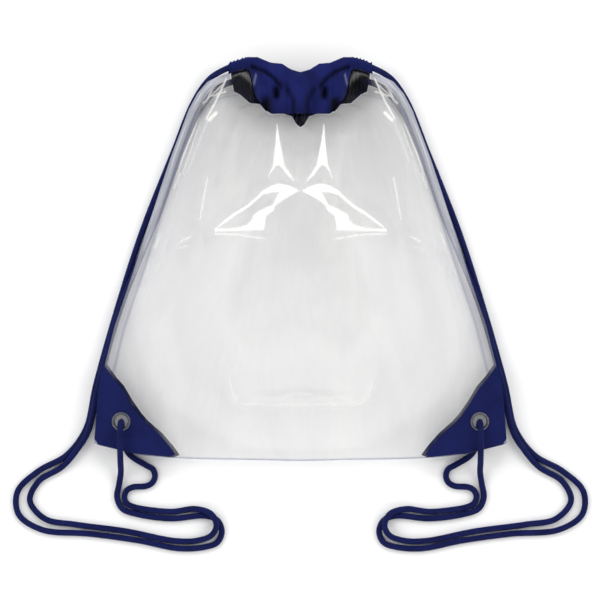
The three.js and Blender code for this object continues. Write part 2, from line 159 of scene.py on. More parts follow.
# cords: 5 mm braided polyester, one on each side
cordValues = {
    "diameter": 5.0,
    "sides": 20,
    "ringStep": 0.0022,
    "length": 1.558,
    # left side: out of the front channel, down the side, round the loop, up through the eyelet from the
    # front, back round the loop underneath and up into the back channel
    "route": [
        (-0.0527, 0.1593, 0.0209), (-0.0589, 0.1570, 0.0208), (-0.0742, 0.1490, 0.0110),
        (-0.0877, 0.1310, 0.0030), (-0.1046, 0.0895, 0.0025), (-0.1312, 0.0220, 0.0025),
        (-0.1522, -0.0435, 0.0025), (-0.1692, -0.1040, 0.0025), (-0.1777, -0.1410, 0.0025),
        (-0.1937, -0.1625, 0.0025), (-0.2167, -0.1755, 0.0025), (-0.2342, -0.1925, 0.0025),
        (-0.2332, -0.2115, 0.0025), (-0.2142, -0.2240, 0.0025), (-0.1742, -0.2275, 0.0025),
        (-0.1342, -0.2330, 0.0025), (-0.1002, -0.2396, 0.0025), (-0.0787, -0.2383, 0.0025),
        (-0.0688, -0.2346, 0.0025), (-0.0651, -0.2254, 0.0025), (-0.0690, -0.2162, 0.0025),
        (-0.0787, -0.2126, 0.0025), (-0.1072, -0.2148, 0.0025), (-0.1352, -0.2112, 0.0025),
        (-0.1474, -0.2067, 0.0025), (-0.1518, -0.1972, 0.0025), (-0.1502, -0.1870, 0.0027),
        (-0.1485, -0.1770, 0.0068), (-0.1482, -0.1675, 0.0166), (-0.1480, -0.1575, 0.0240),
        (-0.1479, -0.1470, 0.0270), (-0.1478, -0.1380, 0.0234), (-0.1477, -0.1343, 0.0148),
        (-0.1476, -0.1380, 0.0061), (-0.1470, -0.1470, 0.0025), (-0.1422, -0.1610, 0.0025),
        (-0.1275, -0.1709, 0.0025), (-0.1224, -0.1739, 0.0025), (-0.1204, -0.1794, 0.0025),
        (-0.1224, -0.1849, 0.0025), (-0.1275, -0.1879, 0.0025), (-0.1389, -0.1889, 0.0025),
        (-0.1438, -0.1917, 0.0025), (-0.1457, -0.1970, 0.0025), (-0.1438, -0.2023, 0.0025),
        (-0.1385, -0.2051, 0.0025), (-0.1072, -0.2092, 0.0025), (-0.0872, -0.2069, 0.0028),
        (-0.0738, -0.2108, 0.0074), (-0.0694, -0.2200, 0.0080), (-0.0736, -0.2286, 0.0056),
        (-0.0862, -0.2332, 0.0027), (-0.1042, -0.2333, 0.0025), (-0.1442, -0.2254, 0.0025),
        (-0.1862, -0.2198, 0.0025), (-0.2117, -0.2150, 0.0025), (-0.2240, -0.2000, 0.0025),
        (-0.2167, -0.1840, 0.0025), (-0.1976, -0.1722, 0.0032), (-0.1848, -0.1578, 0.0072),
        (-0.1754, -0.1424, 0.0075), (-0.1668, -0.1046, 0.0075), (-0.1499, -0.0442, 0.0075),
        (-0.1336, -0.0015, 0.0054), (-0.1170, 0.0390, 0.0025), (-0.0988, 0.0895, 0.0025),
        (-0.0820, 0.1255, 0.0025), (-0.0687, 0.1405, 0.0082), (-0.0560, 0.1460, 0.0119),
        (-0.0516, 0.1462, 0.0121),
    ],
    "exit": (-0.0589, 0.1570, 0.0208),
}


def smoothRoute(points, step):
    # centripetal spline through the points, as in the part's source
    places = [np.array(p) for p in points]
    places = [2 * places[0] - places[1]] + places + [2 * places[-1] - places[-2]]
    line = []
    for before, here, there, after in zip(places, places[1:], places[2:], places[3:]):
        t1 = np.linalg.norm(here - before) ** 0.5
        t2 = t1 + np.linalg.norm(there - here) ** 0.5
        t3 = t2 + np.linalg.norm(after - there) ** 0.5
        count = max(4, round(np.linalg.norm(there - here) / step))
        for t in np.linspace(t1, t2, count, endpoint=False):
            a1 = (t1 - t) / t1 * before + t / t1 * here
            a2 = (t2 - t) / (t2 - t1) * here + (t - t1) / (t2 - t1) * there
            a3 = (t3 - t) / (t3 - t2) * there + (t - t2) / (t3 - t2) * after
            b1 = (t2 - t) / t2 * a1 + t / t2 * a2
            b2 = (t3 - t) / (t3 - t1) * a2 + (t - t1) / (t3 - t1) * a3
            line.append((t2 - t) / (t2 - t1) * b1 + (t - t1) / (t2 - t1) * b2)
    line.append(places[-2])
    return np.array(line)


def cordTube(name, line, radius, sides):
    heading = np.gradient(line, axis=0)
    heading /= np.linalg.norm(heading, axis=1)[:, None]
    across = np.cross(heading[0], (0, 0, 1.0))
    angles = 2 * np.pi * np.arange(sides) / sides
    rings = []
    for middle, forward in zip(line, heading):
        across = across - forward * np.dot(across, forward)
        across /= np.linalg.norm(across)
        upwards = np.cross(across, forward)
        rings.append(middle + radius * (np.cos(angles)[:, None] * across + np.sin(angles)[:, None] * upwards))
    walked = np.concatenate([[0], np.cumsum(np.linalg.norm(np.diff(line, axis=0), axis=1))])
    uv = np.zeros((len(line), sides + 1, 2))
    uv[:, :, 0] = np.arange(sides + 1) / sides
    uv[:, :, 1] = walked[:, None] / 10  # one unit is 10 mm of cord
    return gridPiece(name, np.array(rings), uv, wrap=True, capped=True)


def addCord(side, mirror, material):
    flip = np.array([-mirror, 1, 1])
    line = smoothRoute(cordValues["route"], cordValues["ringStep"]) * flip
    line[:, 2] = np.maximum(line[:, 2], cordValues["diameter"] / 2000)
    radius = cordValues["diameter"] / 2
    piece = cordTube(f"braided_cord_{side}", line * 1000, radius, cordValues["sides"])
    dress(piece, material)
    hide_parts(f"cord_{side}")


# braided polyester: matt, with a fine herringbone of crossing strands and a soft sheen at its edges
braidValues = {
    "colour": "#171e52",
    "shadow": "#0c1136",
    "roughness": 0.72,
    "strandsRound": 6,
    "strandsPer10mm": 5.5,  # a real 5 mm cord has about 10; drawn coarser so that it shows
}


def makeBraid(values):
    material, tree = newMaterial("braidedPolyesterCord")
    uvMap = addNode(tree, "ShaderNodeUVMap", {"uv_map": "cloth"})
    parts = addNode(tree, "ShaderNodeSeparateXYZ", {}, {"Vector": uvMap.outputs["UV"]})
    turns = addNode(tree, "ShaderNodeMath", {"operation": "MULTIPLY", 1: 6.2832 * values["strandsRound"] / 2},
                    {0: parts.outputs["X"]})
    steps = addNode(tree, "ShaderNodeMath",
                    {"operation": "MULTIPLY", 1: 6.2832 * values["strandsPer10mm"] / 2},
                    {0: parts.outputs["Y"]})
    strands = []
    for operation in ("ADD", "SUBTRACT"):
        phase = addNode(tree, "ShaderNodeMath", {"operation": operation},
                        {0: turns.outputs[0], 1: steps.outputs[0]})
        wave = addNode(tree, "ShaderNodeMath", {"operation": "SINE"}, {0: phase.outputs[0]})
        strands.append(addNode(tree, "ShaderNodeMath", {"operation": "ABSOLUTE"}, {0: wave.outputs[0]}))
    weave = addNode(tree, "ShaderNodeMath", {"operation": "MULTIPLY"},
                    {0: strands[0].outputs[0], 1: strands[1].outputs[0]})
    place = addNode(tree, "ShaderNodeTexCoord")
    patches = addNode(tree, "ShaderNodeTexNoise", {"Scale": 90.0, "Detail": 3.0},
                      {"Vector": place.outputs["Object"]})
    mixed = addNode(tree, "ShaderNodeMath", {"operation": "MULTIPLY_ADD", 1: 0.5},
                    {0: weave.outputs[0], 2: patches.outputs["Fac"]})
    ramp = addNode(tree, "ShaderNodeValToRGB", {}, {"Fac": mixed.outputs[0]})
    ramp.color_ramp.elements[0].position = 0.3
    ramp.color_ramp.elements[0].color = hexToLinear(values["shadow"])
    ramp.color_ramp.elements[1].position = 0.85
    ramp.color_ramp.elements[1].color = hexToLinear(values["colour"])
    bump = addNode(tree, "ShaderNodeBump", {"Strength": 0.5, "Distance": 0.0006},
                   {"Height": weave.outputs[0]})
    shader = addNode(tree, "ShaderNodeBsdfPrincipled",
                     {"Roughness": values["roughness"], "IOR": 1.5, "Specular IOR Level": 0.08,
                      "Sheen Weight": 0.02, "Sheen Roughness": 0.4},
                     {"Base Color": ramp.outputs["Color"], "Normal": bump.outputs["Normal"]})
    addNode(tree, "ShaderNodeOutputMaterial", {}, {"Surface": shader.outputs["BSDF"]})
    return material


braidedCord = makeBraid(braidValues)
for side, mirror in (("left", -1), ("right", 1)):
    addCord(side, mirror, braidedCord)
print("cords made")

# sizes that the films, channels and corners share, repeated from the part's source, mm
bag = {
    "halfBottom": 169.8,
    "halfNeck": 58.8,
    "panelHeight": 304.5,
    "bottomBow": 14.9,
    "earRise": 13.6,
    "cornerY": -151.6,
    "seamHeight": 16.0,
    "flange": 8.0,
    "patchLeg": 66.0,
    "patchMargin": 16.0,
    "eyelet": (147.5, -133.9),
    "eyeletHole": 11.0,
    "filmHole": 13.8,
}
neckY = bag["cornerY"] + bag["panelHeight"]

# side edge: share of the height, share of the way from the neck's half width to the bottom's
sideEdge = [(0, 1), (0.143, 0.969), (0.213, 0.92), (0.316, 0.849), (0.454, 0.719), (0.586, 0.601),
            (0.689, 0.508), (0.77, 0.434), (0.9, 0.3), (0.945, 0.235), (0.977, 0.159), (0.989, 0.093), (1, 0)]
# bottom edge: share of the half width, share of the bow
bottomEdge = [(0, 1), (0.242, 0.94), (0.483, 0.9), (0.637, 0.82), (0.732, 0.72), (0.805, 0.62), (0.893, 0.36),
              (0.983, 0.11), (1, 0)]
# rims of the films at the neck: share of the neck's half width, share of that side's tongue
frontRim = [(0, 1), (0.41, 1), (0.47, 0.93), (0.52, 0.76), (0.6, 0.67), (0.655, 0.5), (0.69, 0.2),
            (0.725, -0.05), (0.8, -0.12), (0.91, -0.06), (1, 0)]
backRim = [(0, 1), (0.07, 0.93), (0.13, 0.79), (0.25, 0.74), (0.495, 0.7), (0.58, 0.57), (0.715, 0.56),
           (0.857, 0.4), (0.945, 0.34), (1, 0)]
frontTongue, backTongue = 35.4, 45.3
# standing folds of the front film, left half: from, to, half width and height, mm
broadFolds = [
    ((-24.1, 110.3), (-3.0, 85.9), 13, 3.2),
    ((-20.5, 98.1), (-17.0, 64.6), 12, 3.6),
    ((-1.2, 52.4), (-31.1, 52.4), 14, 4.2),
    ((-31.1, 52.4), (-69.7, 18.9), 15, 4.4),
    ((-75.0, 67.6), (-90.8, 0.7), 13, 2.6),
    ((0.0, -118.1), (-53.9, -118.1), 14, 3.0),
    ((-53.9, -118.1), (-60.9, -90.7), 12, 2.2),
]


def lookUp(table, at):
    columns = np.array(table, dtype=float).T
    return np.interp(at, columns[0], columns[1])


def swell(distance, reach):
    return np.sin(np.pi / 2 * clampShare(distance / reach))


def halfWidthAt(up):
    return bag["halfNeck"] + (bag["halfBottom"] - bag["halfNeck"]) * lookUp(sideEdge, up)


def filmPlan(rim, tongue, across, up):
    bow = bag["bottomBow"] * lookUp(bottomEdge, np.abs(across))
    drop = tongue * lookUp(rim, np.abs(across))
    y = bag["cornerY"] + bag["panelHeight"] * up - bow * (1 - up)**2 - drop * up**6
    return across * halfWidthAt(up), y


def parting(x, y, across, up, sideReach, bottomReach, patchReach):
    # how far the two films have parted, from 0 at the seams to 1
    fromSide = halfWidthAt(up) * (1 - np.abs(across)) - bag["flange"]
    fromBottom = bag["panelHeight"] * up - bag["flange"]
    leg = bag["patchLeg"]
    startX, startY = bag["halfBottom"] - leg * 0.117, bag["cornerY"] + leg * 0.98
    alongX, alongY = -leg * 0.898, -leg * 1.125
    size = np.hypot(alongX, alongY)
    pastPatch = ((np.abs(x) - startX) * alongY - (y - startY) * alongX) / size - bag["patchMargin"]
    return swell(fromSide, sideReach) * swell(fromBottom, bottomReach) * swell(pastPatch, patchReach)


# clear film: 0.3 mm calendered soft PVC
filmValues = {
    "columns": 290,
    "rows": 300,
    "backColumns": 160,
    "backRows": 170,
    "flat": (0.345, 0.335),  # metres, before it is gathered
    "halfGap": 0.45,  # from the middle of the seams to each film
    "puff": 46.0,  # rise of the front film above the seams
    "backDrop": 14.65,
    # how far from the side, the bottom and the patches each film keeps swelling
    "frontReaches": (105, 120, 90),
    "backReaches": (60, 60, 50),
    "backNeckPinch": 32,
    "glintRise": 0.7,
    # fine gathers that run down from the neck: how many, height in mm, reach as a share of the height
    "gathers": [(13, 0.7, 0.2), (23, 0.3, 0.12), (41, 0.12, 0.08)],
    "sagHeight": 0.8,
    "seamReflectionShare": 0.36,  # strength of a pale lavender reflection painted on the steep film beside the side seams
    # painted highlights, in streaks that run beside the side seam: mm from the edge, half width, strength
    "streaks": [(3.2, 1.0, 0.45), (10.8, 1.3, 0.6), (13.8, 0.9, 0.35), (18.5, 1.6, 0.18)],
    # lines where the film is bent sharply, left half: points, half width, height and whitening, which is
    # partly the film's own crease whitening and partly a painted highlight
    "creases": [
        ([(-28.0, 116.7), (-16.8, 111.5), (0.0, 86.2)], 1.8, 0.5, 0.0),
        ([(-76.0, 66.0), (-78.5, 52.5), (-82.0, 32.0)], 2.2, 0.5, 0.32),
        ([(-69.3, 20.0), (-48.6, 19.0), (-39.6, 17.2), (-29.5, 15.6)], 1.3, 0.4, 0.55),
        ([(-53.5, -118.7), (-24.2, -119.3), (0, -119.5)], 2.4, 0.4, 0.22),
        ([(-41.9, -118.7), (-24.7, -113.8), (-5.0, -110.3), (0, -110.4)], 2.0, 0.3, 0.12),
        ([(-58.4, -99.0), (-55.9, -109.7), (-51.8, -116.3)], 2.6, 0.4, 0.25),
        ([(-61.1, 147.9), (-69.0, 130.0), (-77.4, 115.0)], 1.8, 0.6, 0.6),
        ([(-60.9, 137.2), (-75.7, 133.1)], 1.4, 0.4, 0.5),
        ([(-64.0, 143.0), (-80.0, 128.0)], 1.5, 0.4, 0.45),
        ([(-69.5, 119.5), (-75.0, 114.0)], 3.6, 0.5, 0.7),
        ([(-99.0, 70.0), (-104.0, 58.0)], 1.8, 0.3, 0.3),
        ([(-98.0, 14.0), (-90.0, 18.0)], 2.2, 0.5, 0.35),
        ([(-101.0, 8.0), (-92.0, 10.5)], 1.6, 0.4, 0.25),
    ],
    # flats where the film is folded hardest, left half: raised a little and painted white as highlights
    "glints": [
        [(-19.1, 109.3), (-16.8, 93.6), (-14.5, 81.3), (-13.1, 74.7), (-9.0, 68.9), (-4.9, 62.3),
         (-10.2, 66.9), (-15.2, 73.5), (-17.7, 75.7), (-20.7, 74.3), (-23.4, 70.2), (-26.1, 65.2),
         (-24.2, 69.8), (-22.0, 75.5), (-21.2, 82.9), (-19.9, 96.1)],
        [(-1.6, 54.4), (-6.5, 57.2), (-10.4, 58.8), (-17.2, 60.0), (-23.9, 58.2), (-30.6, 54.4),
         (-37.3, 47.6), (-44.1, 42.0), (-53.0, 36.9), (-62.0, 30.2), (-69.9, 23.4), (-60.9, 28.9),
         (-52.2, 35.3), (-43.1, 40.6), (-36.2, 46.2), (-30.6, 51.3), (-23.9, 53.2), (-16.0, 53.6),
         (-19.4, 48.7), (-22.2, 43.1), (-21.1, 41.8), (-17.2, 45.3), (-10.4, 49.3)],
        [(-21.0, 43.0), (-26.1, 41.4), (-32.9, 38.1), (-38.5, 34.1), (-39.1, 30.7), (-43.0, 26.8),
         (-50.8, 24.6), (-59.8, 23.7), (-69.6, 23.7), (-69.6, 21.9), (-54.2, 22.1), (-44.1, 22.6),
         (-29.5, 22.7), (-28.9, 29.6), (-27.5, 34.7), (-21.6, 38.6)],
    ],
}
chance = np.random.default_rng(11)
sagWaves = [(chance.uniform(-0.08, 0.08), chance.uniform(-0.08, 0.08), chance.uniform(0, 6.28))
            for _ in range(9)]
gatherPhases = chance.uniform(0, 1, 8)


def ridge(turns):
    # rises and falls on straight lines between -1 and 1, a little rounded at its tops
    saw = 2 * np.abs(2 * (turns - np.floor(turns + 0.5))) - 1
    return saw * (1.25 - 0.25 * saw * saw)


def crumple(x, y, across, up, strength):
    height = np.zeros(np.shape(x))
    warp = 0.12 * np.sin(9 * up + 2.5 * across) + 0.05 * np.sin(23 * up)
    for phase, (count, size, reach) in zip(gatherPhases, filmValues["gathers"]):
        fade = np.exp(-(1 - up) / reach)
        turns = count * 0.5 * (np.abs(across) + warp * (1 - up)) + phase
        height += size * strength * fade * ridge(turns)
    for alongX, alongY, phase in sagWaves:
        height += filmValues["sagHeight"] / 2 * np.sin(alongX * np.abs(x) + alongY * y + phase)
    return height


def frontFilm(across, up):
    x, y = filmPlan(frontRim, frontTongue, across, up)
    part = parting(x, y, across, up, *filmValues["frontReaches"])
    neckShare = 1 - 0.36 * swell(up - 0.62, 0.38)
    z = bag["seamHeight"] + filmValues["halfGap"] + filmValues["puff"] * neckShare * part
    left = -np.abs(x)
    folds = np.zeros(np.shape(x))
    for start, end, width, height in broadFolds:
        share = clampShare(awayFrom(left, y, [start, end]) / width)
        folds = np.maximum(folds, height * (1 - share**2)**2)
    loose = np.minimum(1, part * 2)
    z += folds * loose + crumple(x, y, across, up, 1.0) * np.minimum(1, part * 3)
    for run, width, height, _ in filmValues["creases"]:
        z += height * (1 - clampShare(awayFrom(left, y, run) / width))**1.5 * loose
    for outline in filmValues["glints"]:
        z += filmValues["glintRise"] * insideOf(left, y, outline, 3.5) * loose
    return np.stack([x, y, z], axis=-1)


def backFilm(across, up):
    x, y = filmPlan(backRim, backTongue, across, up)
    sideReach, bottomReach, patchReach = filmValues["backReaches"]
    sideReach = sideReach - filmValues["backNeckPinch"] * up**4
    part = parting(x, y, across, up, sideReach, bottomReach, patchReach)
    neckShare = 1 - 0.42 * swell(up - 0.84, 0.16)
    z = bag["seamHeight"] - filmValues["halfGap"] - filmValues["backDrop"] * neckShare * part
    z += crumple(x, y, across, up, 0.7) * np.minimum(1, part * 2) * 0.4
    return np.stack([x, y, np.maximum(z, 0.3)], axis=-1)


def filmGrid(columnCount, rowCount):
    across, up = np.meshgrid(np.linspace(-1, 1, columnCount + 1), np.linspace(0, 1, rowCount + 1))
    return across, up


def clearOfEyelets(middles):
    away = np.hypot(np.abs(middles[:, 0]) - bag["eyelet"][0], middles[:, 1] - bag["eyelet"][1])
    return away > bag["filmHole"] / 2


def addFilm(name, surface, columnCount, rowCount, material, node):
    across, up = filmGrid(columnCount, rowCount)
    points = surface(across, up)
    uv = np.stack([across * 0.5 + 0.5, up], axis=-1)
    piece = gridPiece(name, points, uv, keep=clearOfEyelets)
    # painted layers of the film, one layer for each look: crease whitening with painted highlights, the rim
    # and weld, a painted reflection beside the side seams, greyer towards the neck, and painted shade over
    # the cloth
    x, y = points[..., 0], points[..., 1]
    left = -np.abs(x)
    whiteningAndHighlight = np.zeros(np.shape(x))
    if node == "front_panel":
        for outline in filmValues["glints"]:
            whiteningAndHighlight = np.maximum(whiteningAndHighlight, insideOf(left, y, outline, 1.3))
        for run, width, _, white in filmValues["creases"]:
            line = 1 - smoothStep(awayFrom(left, y, run) / (width * 0.75))
            whiteningAndHighlight = np.maximum(whiteningAndHighlight, white * line)
    fromSide = halfWidthAt(up) * (1 - np.abs(across))
    fromBottom = bag["panelHeight"] * up
    margin = np.minimum(fromSide, fromBottom * 1.5)
    weld = 0.55 * (1 - smoothStep(np.abs(fromSide - bag["flange"]) / 1.6))
    edge = np.maximum(1 - smoothStep(margin / 2.0), weld)
    rising = smoothStep((up - 0.3) / 0.4)
    broken = 0.55 + 0.45 * np.sin(31 * up + 5 * np.sin(13 * up))
    if node == "front_panel":
        for middle, width, white in filmValues["streaks"]:
            line = 1 - smoothStep(np.abs(fromSide - middle - 0.8 * np.sin(17 * up + middle)) / width)
            whiteningAndHighlight = np.maximum(whiteningAndHighlight, white * line * broken * rising)
    # painted reflection of the steep film beside the side seams, stronger higher up, front film only
    inBand = 0.55 * (1 - smoothStep((fromSide - 4.5) / 2.5))
    inBand = inBand + 0.45 * (1 - smoothStep((fromSide - 9.0) / 3.0))
    seamReflectionShare = filmValues["seamReflectionShare"] * inBand * (0.35 + 0.65 * rising)
    besideMouth = 1 - smoothStep((np.abs(x) - 56.0) / 8.0)
    paint(piece, "whiteningAndHighlight", whiteningAndHighlight)
    paint(piece, "edge", edge)
    paint(piece, "seamReflectionShare", seamReflectionShare if node == "front_panel" else 0 * seamReflectionShare)
    paint(piece, "nearNeck", smoothStep((up - 0.4) / 0.55))
    paint(piece, "onCloth", smoothStep((up - 0.86) / 0.06) * besideMouth)
    dress(piece, material)
    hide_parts(node)
    return piece


# soft PVC film, calendered: clear and glossy, greyer where it is seen edge on and towards the neck, whitened
# where it is creased, with painted highlights, a painted pale lavender reflection beside the side seams and
# painted shade (less reflection) where it lies over the cloth
vinylValues = {
    "seeThrough": "#fbfbfb",
    "gathered": "#f8f8f8",
    "edgeOn": "#e6e6e7",
    "seam": "#cccede",
    "paintedSeamReflection": "#eceefa",
    "gloss": "#ffffff",
    "roughness": 0.07,
    "reflects": 0.05,  # head on, from an IOR of 1.53
    "white": "#fffffa",
    "haze": 0.09,  # at most, in soft streaks down from the neck
}


def makeVinyl(values):
    material, tree = newMaterial("calenderedSoftVinyl")
    uvMap = addNode(tree, "ShaderNodeUVMap", {"uv_map": "cloth"})
    # fine gathers, about 5 mm across and 37 mm long
    stretched = addNode(tree, "ShaderNodeMapping", {"Scale": (70.0, 9.0, 1.0)},
                        {"Vector": uvMap.outputs["UV"]})
    fineGathers = addNode(tree, "ShaderNodeTexNoise", {"Scale": 1.0, "Detail": 3.0, "Distortion": 0.6},
                          {"Vector": stretched.outputs["Vector"]})
    parts = addNode(tree, "ShaderNodeSeparateXYZ", {}, {"Vector": uvMap.outputs["UV"]})
    nearNeck = addNode(tree, "ShaderNodeMapRange",
                       {"From Min": 0.62, "From Max": 1.0, "To Min": 0.04, "To Max": 1.0},
                       {"Value": parts.outputs["Y"]})
    gathers = addNode(tree, "ShaderNodeMath", {"operation": "MULTIPLY"},
                      {0: fineGathers.outputs["Fac"], 1: nearNeck.outputs["Result"]})
    place = addNode(tree, "ShaderNodeTexCoord")
    # ripples of about 45 mm, left by the fold it was packed in
    ripples = addNode(tree, "ShaderNodeTexNoise", {"Scale": 22.0, "Detail": 2.0, "Roughness": 0.4},
                      {"Vector": place.outputs["Object"]})
    heights = addNode(tree, "ShaderNodeMath", {"operation": "MULTIPLY_ADD", 1: 0.6},
                      {0: ripples.outputs["Fac"], 2: gathers.outputs[0]})
    bump = addNode(tree, "ShaderNodeBump", {"Strength": 0.35, "Distance": 0.002},
                   {"Height": heights.outputs[0]})
    facing = addNode(tree, "ShaderNodeLayerWeight", {"Blend": 0.5}, {"Normal": bump.outputs["Normal"]})
    power = addNode(tree, "ShaderNodeMath", {"operation": "POWER", 1: 5.0}, {0: facing.outputs["Facing"]})
    mirrored = addNode(tree, "ShaderNodeMath",
                       {"operation": "MULTIPLY_ADD", 1: 0.85 - values["reflects"], 2: values["reflects"]},
                       {0: power.outputs[0]})
    # less reflection and haze where the film lies over the cloth: painted shade that keeps the casing seen
    # through it near black
    onCloth = addNode(tree, "ShaderNodeAttribute", {"attribute_name": "onCloth"})
    offCloth = addNode(tree, "ShaderNodeMath", {"operation": "MULTIPLY_ADD", 1: -0.85, 2: 1.0},
                       {0: onCloth.outputs["Fac"]})
    reflects = addNode(tree, "ShaderNodeMath", {"operation": "MULTIPLY"},
                       {0: mirrored.outputs[0], 1: offCloth.outputs[0]})
    tint = addNode(tree, "ShaderNodeMix", {"data_type": "RGBA", 6: hexToLinear(values["seeThrough"]),
                                           7: hexToLinear(values["edgeOn"])},
                   {"Factor": facing.outputs["Facing"]})
    # the film's tint is made greyer towards the neck
    nearMouth = addNode(tree, "ShaderNodeAttribute", {"attribute_name": "nearNeck"})
    gathered = addNode(tree, "ShaderNodeMix", {"data_type": "RGBA", "blend_type": "MULTIPLY",
                                               7: hexToLinear(values["gathered"])},
                       {"Factor": nearMouth.outputs["Fac"], 6: tint.outputs[2]})
    edge = addNode(tree, "ShaderNodeAttribute", {"attribute_name": "edge"})
    seam = addNode(tree, "ShaderNodeMix", {"data_type": "RGBA", 7: hexToLinear(values["seam"])},
                   {"Factor": edge.outputs["Fac"], 6: gathered.outputs[2]})
    clear = addNode(tree, "ShaderNodeBsdfTransparent", {}, {"Color": seam.outputs[2]})
    gloss = addNode(tree, "ShaderNodeBsdfGlossy",
                    {"Color": hexToLinear(values["gloss"]), "Roughness": values["roughness"]},
                    {"Normal": bump.outputs["Normal"]})
    shiny = addNode(tree, "ShaderNodeMixShader", {},
                    {0: reflects.outputs[0], 1: clear.outputs[0], 2: gloss.outputs[0]})
    # crease whitening and painted highlights, read from the film's painted layer
    white = addNode(tree, "ShaderNodeAttribute", {"attribute_name": "whiteningAndHighlight"})
    # soft streaks, about 38 mm across and 150 mm long
    broad = addNode(tree, "ShaderNodeMapping", {"Scale": (9.0, 2.2, 1.0)}, {"Vector": uvMap.outputs["UV"]})
    streaks = addNode(tree, "ShaderNodeTexNoise", {"Scale": 1.0, "Detail": 4.0, "Distortion": 0.8},
                      {"Vector": broad.outputs["Vector"]})
    cloudy = addNode(tree, "ShaderNodeMapRange",
                     {"From Min": 0.42, "From Max": 0.72, "To Max": values["haze"]},
                     {"Value": streaks.outputs["Fac"]})
    thinned = addNode(tree, "ShaderNodeMath", {"operation": "MULTIPLY"},
                      {0: cloudy.outputs["Result"], 1: offCloth.outputs[0]})
    hazeAndHighlightShare = addNode(tree, "ShaderNodeMath", {"operation": "MULTIPLY_ADD", 1: 0.9, "use_clamp": True},
                        {0: white.outputs["Fac"], 2: thinned.outputs[0]})
    # white diffuse that draws the haze, the crease whitening and the painted highlights
    haze = addNode(tree, "ShaderNodeBsdfDiffuse", {"Color": hexToLinear(values["white"])})
    mixed = addNode(tree, "ShaderNodeMixShader", {},
                    {0: hazeAndHighlightShare.outputs[0], 1: shiny.outputs[0], 2: haze.outputs[0]})
    # pale lavender painted reflection beside the side seams
    seamReflectionShare = addNode(tree, "ShaderNodeAttribute", {"attribute_name": "seamReflectionShare"})
    paintedSeamReflection = addNode(tree, "ShaderNodeBsdfDiffuse", {"Color": hexToLinear(values["paintedSeamReflection"])})
    withSeamReflection = addNode(tree, "ShaderNodeMixShader", {},
                     {0: seamReflectionShare.outputs["Fac"], 1: mixed.outputs[0], 2: paintedSeamReflection.outputs[0]})
    addNode(tree, "ShaderNodeOutputMaterial", {}, {"Surface": withSeamReflection.outputs[0]})
    return material


clearVinyl = makeVinyl(vinylValues)
addFilm("clear_film_front", frontFilm, filmValues["columns"], filmValues["rows"], clearVinyl,
        "front_panel")
addFilm("clear_film_back", backFilm, filmValues["backColumns"], filmValues["backRows"], clearVinyl,
        "back_panel")
print("films made")

# channels: the cloth that is folded over the mouth and gathered on the cords
channelValues = {
    "stations": 340,
    "round": 56,
    "frontDepth": 9.4,
    "backDepth": 9.2,
    "mouthLift": 8.0,
    "clothThickness": 0.5,
    "flat": (0.345, 0.042),  # metres, before it is folded double and gathered
    "pastRim": 0.9,  # from the rim of the film to the edge of the casing
    "squareness": 0.8,  # below 1 for fuller sides
    "foldSeeds": (3, 5, 7),
    "gatherWidths": (3.2, 5.6),  # mm between folds
    "topFold": 0.5,
    "underFold": 6.0,
    # free edge: share of the neck's half width, rise and lift
    "frontEars": [(0, -0.03, 1.9), (0.07, 0.06, 1.85), (0.13, 0.14, 1.75), (0.26, 0.5, 1.6),
                  (0.41, 0.56, 1.5), (0.5, 0.72, 1.4), (0.6, 0.91, 1.3), (0.735, 0.91, 1.2),
                  (0.91, 0.66, 1.1), (1, 0.52, 1.1)],
    "backEars": [(0, -0.4, -0.9), (0.265, 0.1, -1), (0.56, 0.5, -1.05), (0.78, 0.5, -1), (1, 0.06, -0.9)],
    # folds of the tongue, left half: points, half width, height (below 0 for a valley) and shade
    "tongueFolds": [
        ([(-39.0, 157.0), (-28.0, 152.5), (-21.4, 147.1), (-16.0, 140.5)], 3.0, -2.4, 0.85),
        ([(-19.8, 138.0), (-19.4, 133.0)], 4.4, -4.0, 1.0),
        ([(-34.0, 150.0), (-30.5, 141.0), (-31.5, 133.0)], 6.5, 2.6, 0.0),
        ([(-28.0, 127.5), (-27.0, 121.0)], 7.5, -3.0, 1.0),
        ([(-10.5, 137.5), (-5.5, 128.0), (-6.0, 116.0)], 4.0, -1.8, 0.5),
        ([(-2.0, 147.0), (-1.0, 118.0)], 5.0, 1.6, 0.0),
        ([(-13.0, 133.5), (-16.0, 118.0)], 4.5, 1.4, 0.0),
    ],
    # pale lines painted on the cloth as the highlight of a film edge over it, left half: points, half width,
    # strength
    "filmEdgeHighlights": [
        ([(-36.5, 150.0), (-38.2, 143.0)], 1.6, 0.5),
    ],
}


def foldsAlong(walked, widths, seed):
    # gathers of uneven width: 0 in the dips, 1 on the tops
    local = np.random.default_rng(seed)
    dips = [float(walked.min()) - 10]
    while dips[-1] < walked.max() + 10:
        dips.append(dips[-1] + local.uniform(*widths))
    dips = np.array(dips)
    slot = np.searchsorted(dips, walked) - 1
    share = (walked - dips[slot]) / (dips[slot + 1] - dips[slot])
    tall = local.uniform(0.55, 1.0, len(dips))[slot]
    return tall * np.sin(np.pi * share)


